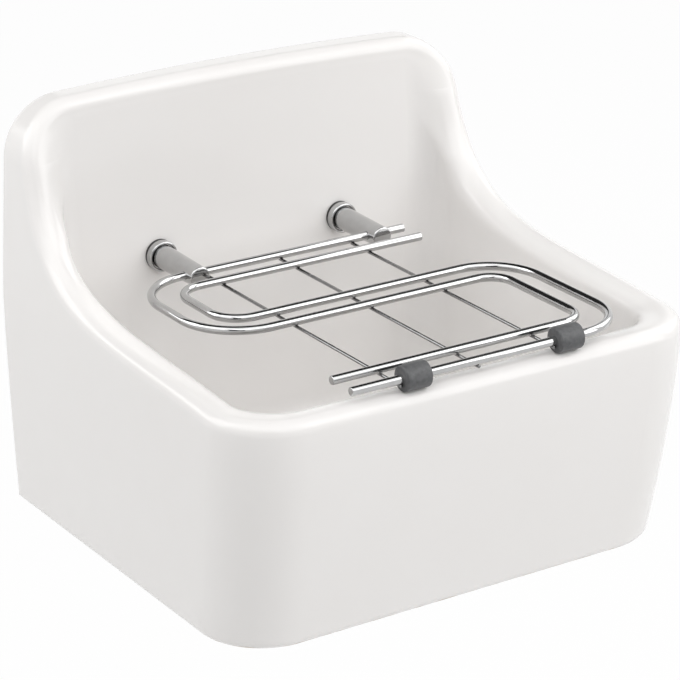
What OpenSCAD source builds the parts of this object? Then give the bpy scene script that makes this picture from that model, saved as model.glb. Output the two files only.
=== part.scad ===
// Wall-hung cleaner's sink in glazed fireclay, with a high splashback, a hinged
// bucket grating of bent chrome rod on two posts, and a strainer waste.
// The origin lies on the wall, midway between the two fixings. The posts, the
// hinge and the grating lie in the plane z = 0. The front is towards -Y.

/* [Basin] */
// Overall width, across the rim
basin_w = 480; // [450:5:520]
// Overall depth, from the wall to the front
basin_d = 425; // [400:5:460]
// Height from the underside to the middle of the splashback's top
basin_h = 392; // [380:2:430]
// Height from the underside to the top of the front rim
front_h = 216; // [205:1:225]
// Width of the underside
base_w = 465; // [440:1:480]
// Depth of the underside
base_d = 397; // [380:1:410]
// Thickness of the front and side walls at the rim
wall = 24; // [21:0.5:27]
// Thickness of the back at its top
back_wall = 28; // [25:0.5:32]
// Thickness of the floor beside the waste
floor_t = 32; // [26:1:40]
// Radius of the outer front corners, seen from above
corner_r = 63; // [50:1:75]
// Radius of the splashback's top corners, seen from the front
top_r = 58; // [40:1:70]
// How far the splashback's top rises from its corners to its middle
crown = 4; // [1:0.5:8]
// How far the side wings stand out from the wall
wing_d = 50; // [46:1:60]
// Draft of the bowl's front and sides, in degrees
bowl_draft = 5; // [2:0.5:6]
// Draft of the bowl's back, in degrees
back_draft = 4; // [2:0.5:5]
// Radius between the bowl's walls and floor
floor_r = 24; // [15:1:27]
// Radius of the bowl's upright back corners
back_r = 28; // [28:1:34]

/* [Grating] */
// Diameter of the long rods
rod_d = 8; // [7:0.5:9]
// Distance between the two rods of a pair, centre to centre
pair = 29; // [26:0.5:32]
// Distance between the back pair and the middle pair
back_bay = 92; // [80:1:100]
// Radius of the outer bends, to the rod's centre
bend_r = 60; // [50:1:64]
// Overall width of the grating, over its bends, to the rods' centres
grating_w = 338; // [320:1:350]
// Distance of the rods' free ends from the middle
free_end = 130; // [115:1:150]
// Diameter of the cross wires
wire_d = 3; // [2:0.5:4]
// Gap between the left post and the cross wire beside it
wire_gap_left = 2; // [1:0.5:4]
// Gap between the right post and the cross wire beside it
wire_gap_right = 12; // [8:0.5:20]
// Diameter of the rubber buffers
buffer_d = 24.4; // [20:0.2:28]
// Length of the rubber buffers
buffer_l = 25; // [20:1:30]

/* [Posts and fixings] */
// Distance between the two posts, which is that of the wall studs
post_pitch = 197; // [193:1:205]
// Distance from the wall to the hinge's axis
hinge_out = 106; // [98:1:112]
// Diameter of a post at its rose
post_d = 22; // [20:0.5:24]
// Diameter of a post at its tip
post_tip_d = 19; // [18:0.5:20]
// Length of a post beyond the hinge's axis
post_nose = 13; // [10:0.5:15]
// Diameter of the roses
rose_d = 30.5; // [28:0.5:36]
// Thickness of the roses
rose_t = 7; // [5:0.5:9]
// Diameter of the fixing holes in the fireclay
fixing_hole_d = 17; // [16:0.5:20]
// Diameter of the spigot behind each post
spigot_d = 13; // [12:0.5:14]
// Bore of the spigot, tapped M10 for the wall stud
stud_bore_d = 8.5; // [8:0.1:9]
// Depth of the tapped bore
stud_depth = 30; // [20:1:32]

/* [Waste] */
// Outside diameter of the threaded tail
tail_d = 47.8; // [44:0.1:50]
// Bore of the tail
tail_bore_d = 40; // [36:0.5:42]
// Length of the tail below the underside
tail_drop = 58; // [45:1:70]
// Diameter of the waste's flange
waste_flange_d = 80; // [74:1:88]
// Diameter of the strainer plate
strainer_d = 66; // [60:1:70]
// Diameter of the strainer's holes
strainer_hole_d = 6; // [4:0.5:7]
// Distance across the flats of the backnut
backnut_af = 64; // [60:1:70]
// Thickness of the backnut
backnut_t = 10; // [7:0.5:14]

/* [Fits] */
// Radial clearance of the hinge in its posts
hinge_fit = 0.05; // [0.03:0.01:0.08]
// Gap between pieces that seat on each other
seat = 0.2; // [0.1:0.05:0.3]
// How deep the cross wires are fused into the rods
weld = 0.4; // [0.3:0.1:0.6]

/* [Hidden] */
$fn = 96;
eps = 0.5;

// Heights of the basin are measured from its underside, and the whole basin
// is then dropped by hinge_h, so that the hinge lies at z = 0.
hinge_h = front_h + seat + buffer_d / 2;
base_z = -hinge_h;

// Outside: widest at the rim, drawn in below it, and leaning in above it
rim_r = wall / 2;
wide_h = front_h - rim_r;
draft_bow = 1.5;
side_lean = 0.0885;
lean_blend = 15;
edge_r = 5;

// Splashback's outline, seen from the front
lean_a = atan(side_lean);
top_z = basin_h - crown - top_r;
wing_z = top_z + top_r * sin(lean_a);
top_x = outside_w(wing_z) - top_r * cos(lean_a);

// Bowl
in_r = corner_r - wall;
floor_fall = 3;
foot_z = floor_t + floor_fall + floor_r;
drain_r = 56;
slab_land = 1.5 * rim_r;

// The arm's top line, seen from the side: one Bezier curve from the front
// corner, level at first, up into the front edge of the wing
arm_0 = [corner_r - basin_d, front_h];
arm_3 = [-wing_d, wing_z];
arm_1 = arm_0 + 0.62 * [arm_3.x - arm_0.x, 0.078 * (arm_3.x - arm_0.x)];
arm_2 = arm_3 - 1.06 * (wing_z - front_h) * [0.268, 1];

// Stations round half of the rim, and points along each section
front_n = 4;
corner_n = 10;
side_n = 20;
foot_n = 11;
wing_n = 16;
top_n = 9;
ledge_n = 4;
edge_k = 3;
wall_k = 5;
round_k = 5;
land_k = 6;
bowl_k = 6;
cove_k = 5;

// Grating: the rods' places from the back to the front
rod_r = rod_d / 2;
bend_x = grating_w / 2 - bend_r;
front_y = -(basin_d - rim_r) - 2;
rod_y = [-hinge_out, -hinge_out - pair, -hinge_out - pair - back_bay,
         -hinge_out - 2 * pair - back_bay, front_y + pair, front_y];
wire_z = -(rod_d + wire_d) / 2 + weld;
wire_over = 3;
buffer_gap = 0.4;
buffer_edge = 3;

// Posts
post_x = post_pitch / 2;
wire_left = -post_x + (post_d + wire_d) / 2 + wire_gap_left;
wire_right = post_x - (post_d + wire_d) / 2 - wire_gap_right;
wire_x = [wire_left, (wire_left + wire_right) / 2, wire_right];
back_y = inside_back(hinge_h);
gasket_t = 2.5;
rose_y = back_y - gasket_t;
shoulder_y = rose_y - rose_t;
spigot_back = -12;
stud_r = stud_bore_d / 2;
cross_r = rod_r + hinge_fit;

// Waste
drain_y = (inside_back(foot_z) + inside_front(foot_z)) / 2;
tail_r = tail_d / 2;
rebate_t = 6;
flange_t = 3;
recess_t = 2;
seal_t = rebate_t - flange_t - seat;
nest_z = base_z + floor_t - rebate_t;
spider_t = 5;
boss_d = 14;
screw_over = 5;
strainer_t = 2;
strainer_rise = 4;
lower_seal_t = 3;
strainer_z = nest_z + seal_t + flange_t - recess_t + seat + strainer_t / 2;
slip_t = 2;
washer_d = waste_flange_d - 2;
thread_fit = 0.15;

function mix(a, b, t) = a + (b - a) * t;
function bezier(p, t) = pow(1 - t, 3) * p[0] + 3 * pow(1 - t, 2) * t * p[1]
                      + 3 * (1 - t) * t * t * p[2] + t * t * t * p[3];
function bezier_way(p, t) = pow(1 - t, 2) * (p[1] - p[0]) + 2 * (1 - t) * t * (p[2] - p[1])
                          + t * t * (p[3] - p[2]);
function unit(v) = v / norm(v);
function mirrored(p) = [-p.x, p.y, p.z];

// Half width and depth of the outside, at height z
function below(z) = pow(max(0, wide_h - z) / wide_h, draft_bow);
function above(z) = let (s = max(0, z - wide_h)) side_lean * s * s / (s + lean_blend);
function outside_w(z) = basin_w / 2 - (basin_w - base_w) / 2 * below(z) - above(z);
function outside_d(z) = basin_d - (basin_d - base_d) * below(z);

// Half width, front and back of the bowl, at height z
function bowl_lean(z) = max(0, wide_h - z) * tan(bowl_draft);
function inside_w(z) = outside_w(max(z, wide_h)) - wall - bowl_lean(z);
function inside_front(z) = wall - basin_d + bowl_lean(z);
function inside_back(z) = -back_wall - (basin_h - z) * tan(back_draft);

// Outside of the left half at height z. Place q runs from the middle of the
// front, 0, to the corner, 1, and round it, 2.
function outside(q, z) =
    let (w = outside_w(z) - corner_r, d = outside_d(z) - corner_r, a = 90 * (q - 1))
    q < 1 ? [-q * w, -d - corner_r, z]
          : [-w - corner_r * sin(a), -d - corner_r * cos(a), z];

// Inside of the left half: 0 to 1 is the front, to 2 the front corner, to 3
// the side, to 4 the back corner and to 5 the back, as far as its middle
function inside(q, z) =
    let (w = inside_w(z), f = inside_front(z), b = inside_back(z),
         s = q - floor(q), a = 90 * s)
    q < 1 ? [-q * (w - in_r), f, z]
    : q < 2 ? [-(w - in_r) - in_r * sin(a), f + in_r - in_r * cos(a), z]
    : q < 3 ? [-w, mix(f + in_r, b - back_r, s), z]
    : q < 4 ? [-(w - back_r) - back_r * cos(a), b - back_r + back_r * sin(a), z]
            : [-(w - back_r) * (5 - q), b, z];

// Level way from the bowl's wall at place q to the bowl's middle
function inward(q) =
    let (a = 90 * (q - floor(q)))
    q < 1 ? [0, 1, 0] : q < 2 ? [sin(a), cos(a), 0] : q < 3 ? [1, 0, 0]
    : q < 4 ? [cos(a), -sin(a), 0] : [0, -1, 0];

// One section of the basin. It runs from the flat of the underside or back,
// round the edge and up the outer wall, over the rim in a quarter round, down
// to the bowl's wall in a Bezier curve, and by the cove to the floor.
//   outer  points up the outer wall, the first at the edge, the last at the rim
//   flat   way from the first point to the flat
//   out    way into the material from the outer wall
//   up     way that the outer wall points to at the rim
//   land   way in which the rim comes down on the bowl's wall
//   bowl   points down the bowl's wall
//   cove   level way from the bowl's wall to its middle
function section(outer, flat, out, up, land, bowl, cove) =
    let (foot = outer[0], rim = outer[wall_k], crest = rim + rim_r * (out + up),
         start = bowl[0], handle = 0.39 * norm(start - crest),
         over = [crest, crest + handle * out, start - handle * land, start],
         heel = bowl[bowl_k], toe = heel + floor_r * (cove - [0, 0, 1]),
         to_drain = unit([toe.x, toe.y - drain_y, 0]))
    concat(
        [for (k = [0:edge_k - 1]) let (a = 90 * k / edge_k)
            foot + edge_r * ((1 - sin(a)) * out + cos(a) * flat)],
        outer,
        [for (k = [1:round_k]) let (a = 90 * k / round_k)
            rim + rim_r * ((1 - cos(a)) * out + sin(a) * up)],
        [for (k = [1:land_k - 1]) bezier(over, k / land_k)],
        bowl,
        [for (k = [1:cove_k]) let (a = 90 * k / cove_k)
            heel + floor_r * ((1 - cos(a)) * cove - sin(a) * [0, 0, 1])],
        [[0, drain_y, floor_t] + drain_r * to_drain]);

function bowl_down(q, z) = [for (k = [0:bowl_k]) inside(q, mix(z, foot_z, k / bowl_k))];

// Front and front corner
function front_section(q) =
    section([for (k = [0:wall_k]) outside(q, mix(edge_r, wide_h, k / wall_k))],
            [0, 0, -1], inward(q), [0, 0, 1], [0, 0, -1], bowl_down(q, wide_h), inward(q));

// Side: the rim follows the arm's top line. The wall's foot runs back along
// the underside and then climbs the back edge to the wing's top.
function side_foot(i) =
    i <= foot_n ? [mix(corner_r - outside_d(edge_r), -edge_r, i / foot_n), edge_r]
                : [-edge_r, mix(edge_r, wing_z, (i - foot_n) / (side_n - foot_n))];
function side_flat(i) = i < foot_n ? [0, 0, -1] : i > foot_n ? [0, 1, 0] : [0, 1, -1];
function side_section(i) =
    let (arm = [arm_0, arm_1, arm_2, arm_3], t = i / side_n,
         crest = bezier(arm, t), way = unit(bezier_way(arm, t)),
         g = max(0, (i - wing_n) / (side_n - wing_n)),
         tip = unit(mix([-way.y, way.x], [-1, 0], g)),
         rim = crest - rim_r * tip, foot = side_foot(i),
         up = [0, tip.x, tip.y], land = unit(mix(-up, [1, 0, 0], g)),
         heel = inside(2 + min(i / wing_n, 1), foot_z))
    section([for (k = [0:wall_k]) let (p = mix(foot, rim, k / wall_k))
                [-outside_w(p.y), p.x, p.y]],
            side_flat(i), [1, 0, 0], up, land,
            i <= wing_n
                ? [for (k = [0:bowl_k])
                    let (z = mix(rim.y, foot_z, k / bowl_k))
                    [-inside_w(z), mix(rim.x, heel.y, k / bowl_k), z]]
                : bowl_down(3 + g, rim.y),
            inward(i <= wing_n ? 2.5 : 3 + g));

// Splashback: p is a point of its outline, out the way into it, and start the
// place where the edge comes down on the back of the bowl. The wing fades out
// as fade goes from 1 to 0, and q is where the section meets the floor.
function corner_x(z) = back_r - inside_w(z);
function back_point(x, z) = [x, inside_back(z), z];
function back_section(p, out, start, fade, q) =
    let (stand = mix(back_wall + 1, wing_d, fade), share = start.x / corner_x(start.z))
    section([for (k = [0:wall_k]) [p.x, mix(-edge_r, rim_r - stand, k / wall_k), p.z]],
            [0, 1, 0], out, [0, -1, 0], unit(start - p - [0, start.y, 0]),
            [for (k = [0:bowl_k])
                let (z = mix(start.z, foot_z, k / bowl_k))
                back_point(corner_x(z) * mix(share, 5 - q, k / bowl_k), z)],
            [0, -1, 0]);
function corner_section(s) =
    let (a = mix(lean_a, 90, s), z = mix(wing_z, basin_h - crown - slab_land, sin(90 * s)))
    back_section([-top_x - top_r * cos(a), 0, top_z + top_r * sin(a)], [cos(a), 0, -sin(a)],
                 back_point(mix(-top_x, corner_x(z), cos(90 * s)), z),
                 pow(cos(90 * s), 2), 4 + 0.1 * s);
function ledge_section(s) =
    let (p = [-top_x * (1 - s), 0, basin_h - crown * pow(1 - s, 2)])
    back_section(p, [0, 0, -1], back_point(p.x, p.z - slab_land), 0, mix(4.1, 5, s));

half_ring = concat(
    [for (i = [0:front_n - 1]) front_section(i / front_n)],
    [for (i = [0:corner_n - 1]) front_section(1 + i / corner_n)],
    [for (i = [0:side_n]) side_section(i)],
    [for (i = [1:top_n]) corner_section(i / top_n)],
    [for (i = [1:ledge_n]) ledge_section(i / ledge_n)]);

function fan(loop, pole) = [for (i = [0:len(loop) - 1]) [loop[i], loop[(i + 1) % len(loop)], pole]];

module basin_skin() {
    half_n = len(half_ring);
    ring_n = 2 * half_n - 2;
    row_n = len(half_ring[0]);
    heel_i = front_n + corner_n + foot_n;
    poles = ring_n * row_n;
    points = concat(
        [for (s = half_ring) each s],
        [for (i = [half_n - 2:-1:1]) each [for (p = half_ring[i]) mirrored(p)]],
        [[0, drain_y, floor_t], [0, drain_y, 0], [0, 0, hinge_h]]);
    skin = [for (i = [0:ring_n - 1]) for (k = [0:row_n - 2])
        let (a = i * row_n + k, b = ((i + 1) % ring_n) * row_n + k)
        each [[a, b, a + 1], [b, b + 1, a + 1]]];
    drain = fan([for (i = [0:ring_n - 1]) i * row_n + row_n - 1], poles);
    base = fan([for (i = [heel_i:-1:-heel_i]) ((i + ring_n) % ring_n) * row_n], poles + 1);
    back = fan([for (i = [ring_n - heel_i:-1:heel_i]) i * row_n], poles + 2);
    polyhedron(points, concat(skin, drain, base, back), convexity = 10);
}

// Basin: the fireclay shell, with its two fixing holes and its waste hole
module basin() {
    color("whitesmoke") difference() {
        translate([0, 0, base_z]) basin_skin();
        for (x = [-post_x, post_x])
            translate([x, eps, 0]) rotate([90, 0, 0]) cylinder(h = wing_d, d = fixing_hole_d);
        translate([0, drain_y, base_z - eps])
            cylinder(h = floor_t + floor_r, d = tail_d + 4);
        translate([0, drain_y, nest_z]) cylinder(h = floor_r, d = waste_flange_d + 2);
    }
}

// A straight rod along X at y, and a half turn from one rod to the next
module rod_straight(x0, x1, y) {
    translate([x0, y, 0]) rotate([0, 90, 0]) cylinder(h = x1 - x0, d = rod_d, $fn = 48);
}
module rod_quarter(r, from) {
    rotate([0, 0, from]) rotate_extrude(angle = 90) translate([r, 0]) circle(d = rod_d, $fn = 48);
}
module rod_turn(side, r, y_back, y_front) {
    translate([side * bend_x, y_back - r, 0]) rod_quarter(r, side > 0 ? 0 : 90);
    translate([side * bend_x, y_front + r, 0]) rod_quarter(r, side > 0 ? 270 : 180);
    translate([side * (bend_x + r), y_front + r, 0])
        rotate([-90, 0, 0]) cylinder(h = y_back - y_front - 2 * r, d = rod_d, $fn = 48);
}
module serpent(back, middle, front, r_left, r_right) {
    color("silver") {
        rod_straight(-bend_x, free_end, back);
        rod_turn(-1, r_left, back, middle);
        rod_straight(-bend_x, bend_x, middle);
        rod_turn(1, r_right, middle, front);
        rod_straight(-free_end, bend_x, front);
    }
}
// The rod that turns outside on the left also forms the hinge
module grating_rod_outer() {
    serpent(rod_y[0], rod_y[3], rod_y[4], bend_r, bend_r - pair);
}
module grating_rod_inner() {
    serpent(rod_y[1], rod_y[2], rod_y[5], bend_r - pair, bend_r);
}

// Cross wires, fused to the underside of all six rods
module cross_wire(i) {
    color("silver") translate([wire_x[i], front_y - wire_over, wire_z])
        rotate([-90, 0, 0]) cylinder(h = -hinge_out - front_y + 2 * wire_over, d = wire_d, $fn = 32);
}

// Buffers: rubber rollers on the front rod, each beside an outer cross wire
module buffer(i) {
    color("dimgray") translate([wire_x[i] + wire_d / 2 + buffer_gap, front_y, 0])
        rotate([0, 90, 0]) rotate_extrude() buffer_half();
}
module buffer_half() {
    difference() {
        hull() {
            for (z = [buffer_edge, buffer_l - buffer_edge])
                translate([buffer_d / 2 - buffer_edge, z]) circle(r = buffer_edge, $fn = 32);
            translate([rod_r, 0]) square([1, buffer_l]);
        }
        translate([-eps, -eps]) square([rod_r + hinge_fit + eps, buffer_l + 2 * eps]);
    }
}

// Posts: tapered barrels, cross-bored for the hinge rod, on tapped spigots
module post(side) {
    color("silver") difference() {
        translate([side * post_x, 0, 0]) rotate([90, 0, 0]) rotate_extrude() polygon(concat(
            [[0, -spigot_back], [spigot_d / 2, -spigot_back], [spigot_d / 2, -shoulder_y],
             [post_d / 2, -shoulder_y]],
            [for (a = [0:15:90]) [post_tip_d / 2 - tip_round * (1 - cos(a)),
                                  hinge_out + post_nose - tip_round * (1 - sin(a))]],
            [[0, hinge_out + post_nose]]));
        translate([side * post_x, 0, 0]) rotate([90, 0, 0])
            translate([0, 0, -spigot_back - eps]) cylinder(h = stud_depth + eps, r = stud_r);
        translate([side * post_x - post_d, -hinge_out, 0]) rotate([0, 90, 0])
            cylinder(h = 2 * post_d, r = cross_r, $fn = 48);
    }
}
tip_round = 1.5;

// Roses: domed cover rings between the posts and the fireclay
module rose(side) {
    color("silver") translate([side * post_x, rose_y, 0]) rotate([90, 0, 0]) rotate_extrude()
        polygon(concat([[spigot_d / 2 + hinge_fit, 0], [rose_d / 2, 0]],
            [for (a = [0:15:90]) [mix(post_d / 2 + 1, rose_d / 2, cos(a)),
                                  mix(rose_t - 3, rose_t - 1, sin(a))]],
            [[post_d / 2, rose_t], [spigot_d / 2 + hinge_fit, rose_t]]));
}

// Gaskets: wedge-shaped, because the back of the bowl has draft
module rose_gasket(side) {
    color("dimgray") difference() {
        translate([side * post_x, 0, 0]) rotate([90, 0, 0])
            cylinder(h = -rose_y, d = rose_d - 1.5);
        translate([side * post_x, eps, 0]) rotate([90, 0, 0])
            cylinder(h = wing_d + rose_t, d = spigot_d + 2 * seat);
        translate([side * post_x, back_y - seat, 0]) rotate([-back_draft, 0, 0])
            translate([-rose_d, 0, -rose_d]) cube([2 * rose_d, 2 * wing_d, 2 * rose_d]);
    }
}

// Sleeves: plastic bushes that keep the spigots off the fireclay
module fixing_sleeve(side) {
    color("ivory") translate([side * post_x, spigot_back + 2, 0]) rotate([90, 0, 0]) difference() {
        cylinder(h = spigot_back + 1 - back_y, d = fixing_hole_d - seat);
        translate([0, 0, -eps])
            cylinder(h = wing_d, d = spigot_d + 2 * hinge_fit);
    }
}

// Waste: dished flange, threaded tail, and a spider that holds the strainer
module waste_body() {
    color("silver") translate([0, drain_y, 0]) {
        flange_z = nest_z + seal_t;
        difference() {
            union() {
                translate([0, 0, base_z - tail_drop])
                    cylinder(h = flange_z - base_z + tail_drop + eps, d = tail_d);
                translate([0, 0, flange_z]) cylinder(h = flange_t, d = waste_flange_d);
            }
            translate([0, 0, base_z - tail_drop - eps])
                cylinder(h = floor_t + tail_drop, d = tail_bore_d);
            translate([0, 0, flange_z + flange_t - recess_t])
                cylinder(h = recess_t + eps, d1 = strainer_d - 2, d2 = strainer_d + 2);
        }
        translate([0, 0, flange_z - spider_t]) difference() {
            union() {
                cylinder(h = spider_t + 1, d = boss_d);
                for (a = [0:120:240]) rotate([0, 0, a])
                    translate([0, -2, 0]) cube([tail_bore_d / 2 + 2, 4, spider_t]);
            }
            translate([0, 0, -eps]) cylinder(h = spider_t + 1 + 2 * eps, d = 5, $fn = 32);
        }
    }
}

// Strainer: a shallow dome, drilled in three rings round its screw
module waste_strainer() {
    lip = strainer_t / 2;
    color("silver") translate([0, drain_y, strainer_z]) difference() {
        rotate_extrude() polygon(concat(
            [for (a = [0:15:90]) [strainer_d / 2 * sin(a), strainer_rise * cos(a) + lip]],
            [for (a = [90:-15:0]) [(strainer_d / 2 - 1) * sin(a), strainer_rise * cos(a) - lip]]));
        for (ring = [1:3], i = [0:6 * ring - 1])
            rotate([0, 0, 360 * i / (6 * ring)]) translate([ring * strainer_d / 7.6, 0, -2])
                cylinder(h = strainer_rise + 6, d = strainer_hole_d, $fn = 24);
        translate([0, 0, -2]) cylinder(h = strainer_rise + 6, d = 6.4, $fn = 32);
    }
}

// Screw: raised head on the strainer, shank in the spider's boss
module strainer_screw() {
    head_z = strainer_z + strainer_rise + strainer_t / 2 + seat / 2;
    shank_l = head_z - (nest_z + seal_t - spider_t) + screw_over;
    color("silver") translate([0, drain_y, head_z]) difference() {
        union() {
            rotate_extrude() polygon(concat([[0, 0]],
                [for (a = [0:15:90]) [5.5 * cos(a), 0.6 + 2.2 * sin(a)]], [[0, 2.8]]));
            translate([0, 0, -shank_l]) cylinder(h = shank_l + eps, d = 4.9, $fn = 32);
        }
        translate([-6, -0.6, 1.4]) cube([12, 1.2, 3]);
    }
}

// Seals: rubber rings above and below the fireclay's floor
module waste_seal_upper() {
    color("dimgray") ring(nest_z, seal_t, waste_flange_d - 3, tail_d + 2 * thread_fit);
}
module waste_seal_lower() {
    color("dimgray") ring(base_z - seat - lower_seal_t, lower_seal_t,
                          washer_d - 2, tail_d + 2 * thread_fit);
}
module waste_slip_washer() {
    color("ivory") ring(base_z - seat - lower_seal_t - slip_t, slip_t,
                        washer_d, tail_d + 2 * thread_fit);
}
module ring(z, h, d_out, d_in) {
    translate([0, drain_y, z]) difference() {
        cylinder(h = h, d = d_out);
        translate([0, 0, -eps]) cylinder(h = h + 2 * eps, d = d_in);
    }
}

// Backnut: hexagon with chamfered corners
module waste_backnut() {
    nut_z = base_z - seat - lower_seal_t - slip_t - backnut_t;
    corner_d = backnut_af / cos(30);
    color("silver") translate([0, drain_y, nut_z]) difference() {
        intersection() {
            cylinder(h = backnut_t, d = corner_d, $fn = 6);
            rotate_extrude() polygon([[0, 0], [backnut_af / 2, 0], [corner_d / 2, 2],
                                      [corner_d / 2, backnut_t], [0, backnut_t]]);
        }
        translate([0, 0, -eps]) cylinder(h = backnut_t + 2 * eps, d = tail_d + 2 * thread_fit);
    }
}

basin();
grating_rod_outer();
grating_rod_inner();
cross_wire(0);  // cross_wire_left
cross_wire(1);  // cross_wire_middle
cross_wire(2);  // cross_wire_right
buffer(0);  // buffer_left
buffer(2);  // buffer_right
post(-1);  // post_left
post(1);  // post_right
rose(-1);  // rose_left
rose(1);  // rose_right
rose_gasket(-1);  // rose_gasket_left
rose_gasket(1);  // rose_gasket_right
fixing_sleeve(-1);  // fixing_sleeve_left
fixing_sleeve(1);  // fixing_sleeve_right
waste_body();
waste_strainer();
strainer_screw();
waste_seal_upper();
waste_seal_lower();
waste_slip_washer();
waste_backnut();
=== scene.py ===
"""Wall-hung cleaner's sink in white fireclay, with a hinged chrome bucket grating.

Lengths are in metres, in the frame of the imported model: the origin lies on the
wall at the height of the grating's hinge, -Y is the front and +Z is up.
"""
import bpy
import math
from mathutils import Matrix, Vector


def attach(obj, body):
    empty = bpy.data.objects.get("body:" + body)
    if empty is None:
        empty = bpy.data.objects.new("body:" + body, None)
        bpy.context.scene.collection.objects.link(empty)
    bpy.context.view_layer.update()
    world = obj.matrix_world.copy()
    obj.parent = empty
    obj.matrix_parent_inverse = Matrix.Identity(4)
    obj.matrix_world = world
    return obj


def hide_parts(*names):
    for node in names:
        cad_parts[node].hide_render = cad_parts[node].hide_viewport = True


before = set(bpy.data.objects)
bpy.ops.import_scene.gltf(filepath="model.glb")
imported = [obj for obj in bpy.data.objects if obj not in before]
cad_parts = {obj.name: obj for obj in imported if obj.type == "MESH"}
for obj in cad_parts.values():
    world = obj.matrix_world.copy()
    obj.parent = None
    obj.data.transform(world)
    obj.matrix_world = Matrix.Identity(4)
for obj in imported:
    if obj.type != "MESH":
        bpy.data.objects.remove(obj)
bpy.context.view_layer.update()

MM = 0.001
# Points closer than this, in metres, are one; shares closer than the second are equal
SAME_POINT, SAME_SHARE = 1e-6, 1e-9
# Turns of a drill, which otherwise stands upright
ALONG_X, ALONG_Y = (0, math.pi / 2, 0), (math.pi / 2, 0, 0)
# Sides of the round shapes
HOLE_SIDES, TURNED_SIDES, BORE_SIDES, ROD_SIDES, WIRE_SIDES = 96, 72, 48, 40, 32


# ---------------------------------------------------------------- sizes
# Basin, in millimetres above its underside; it is dropped by HINGE_H at the end
BASIN_W, BASIN_D, BASIN_H = 480.0, 425.0, 392.0
BASE_W, BASE_D = 465.0, 397.0
FRONT_H = 216.7
WALL, BACK_WALL, FLOOR_T, FLOOR_FALL = 33.5, 34.0, 32.0, 3.0
# Radii of the rim's roll, the edges on the wall and below, and the flat round the drain
RIM_R, EDGE_R, DRAIN_R = 12.0, 8.0, 56.0
# Radii of the corners in plan: outside, and inside at the front
CORNER_R, IN_R = 63.0, 42.0
# Radii inside at the back, beside the wings and deep in the bowl, and of the cove
BACK_R, DEEP_R, FLOOR_R = 20.0, 32.0, 24.0
# Splashback: its top corners, the rise of its top edge, and how far the wings stand out
TOP_R, CROWN, WING_D = 56.0, 4.0, 52.0
BOWL_DRAFT, BACK_DRAFT = math.radians(5), math.radians(3.5)
# Sides: their lean above the front rim, the height over which it sets in, and the bow below
SIDE_LEAN, LEAN_BLEND, DRAFT_BOW = 0.055, 15.0, 1.5
# S curve of each wing: its rake at the top, its rise at the front, and how far both ends run on
RAKE, ARM_RISE, ARM_FRONT, ARM_TOP = 0.268, 0.078, 0.62, 1.06
# Curve from the rim's crest down to the bowl: its fullness, and on the splashback its depth
# and how far the crest stands in front of the wall's face
RIM_FULL, SLAB_LAND, SLAB_OVER = 0.39, 1.7 * RIM_R, 1.0
DRAIN_Y = -219.8
# Heights at which the front rim's roll begins, and at which the bowl's wall meets its cove
WIDE_H = FRONT_H - RIM_R
FOOT_Z = FLOOR_T + FLOOR_FALL + FLOOR_R

# Grating
ROD_D, ROD_BREAK, PAIR, BACK_BAY = 8.0, 0.7, 29.0, 92.0
BEND_LEFT, BEND_RIGHT, REACH_LEFT, REACH_RIGHT = 56.5, 52.0, 165.5, 160.0
BACK_END, FRONT_END, FRONT_OVER = 130.0, 132.0, 2.0
WIRE_D, WIRE_BREAK, WIRE_SUNK, WIRE_OVER = 3.0, 0.4, 0.4, 3.0
WIRE_GAP_LEFT, WIRE_GAP_RIGHT = 2.0, 12.0
BUFFER_D, BUFFER_L, BUFFER_EDGE, BUFFER_GAP = 23.0, 24.5, 1.5, 0.4

# Posts and their cover rings
HINGE_OUT, POST_PITCH = 106.0, 197.0
POST_D, POST_TIP_D, POST_NOSE, TIP_ROUND = 22.5, 20.0, 13.0, 1.5
SPIGOT_D, SPIGOT_BACK, SPIGOT_BREAK, SHOULDER_BREAK = 13.0, -12.0, 0.6, 0.5
STUD_D, STUD_DEPTH = 8.5, 30.0
ROSE_D, ROSE_T, ROSE_RECESS, ROSE_GAP, ROSE_BREAK = 29.0, 7.0, 3.0, 0.75, 0.4
GASKET_T, GASKET_FORWARD = 2.5, 4.9
# Play of a bore, and the width that a turned face keeps round a bore before it is drilled
BORE_PLAY, CUT_EDGE = 0.05, 0.01

# Holes in the basin
FIXING_HOLE_D = 17.0
WASTE_HOLE_D, REBATE_D, REBATE_T = 51.8, 82.0, 6.0

# Height of the grating's hinge above the basin's underside
HINGE_H = 228.4
BASE_Z = -HINGE_H

# Angles along a rounded edge, and along the lip of a ring
QUARTER_ROUND = [math.radians(a) for a in range(0, 91, 15)]
HALF_ROUND = [math.radians(a) for a in range(0, 181, 15)]


# ---------------------------------------------------------------- tools
def nothing_selected():
    """Leaves edit mode and deselects every object."""
    if bpy.context.object and bpy.context.object.mode != "OBJECT":
        bpy.ops.object.mode_set(mode="OBJECT")
    bpy.ops.object.select_all(action="DESELECT")


def only(obj):
    """Selects that object alone and makes it the active one."""
    nothing_selected()
    obj.select_set(True)
    bpy.context.view_layer.objects.active = obj


def settle(obj, name):
    """The piece's place goes into its mesh, and its object to the origin."""
    only(obj)
    bpy.ops.object.transform_apply(location=True, rotation=True, scale=True)
    obj.name = name
    obj.data.name = name
    return obj


def smooth(obj, degrees=35):
    """Shades the piece smooth, but for edges sharper than that."""
    only(obj)
    bpy.ops.object.shade_smooth_by_angle(angle=math.radians(degrees))
    return obj


def pick_edges(obj, test):
    """In edit mode, only the edges whose two ends pass the test are selected."""
    bpy.ops.object.mode_set(mode="OBJECT")
    for p in obj.data.polygons:
        p.select = False
    for v in obj.data.vertices:
        v.select = False
    for e in obj.data.edges:
        a, b = (obj.data.vertices[i].co for i in e.vertices)
        e.select = bool(test(a, b))
    bpy.ops.object.mode_set(mode="EDIT")
    bpy.ops.mesh.select_mode(type="EDGE")


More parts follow.
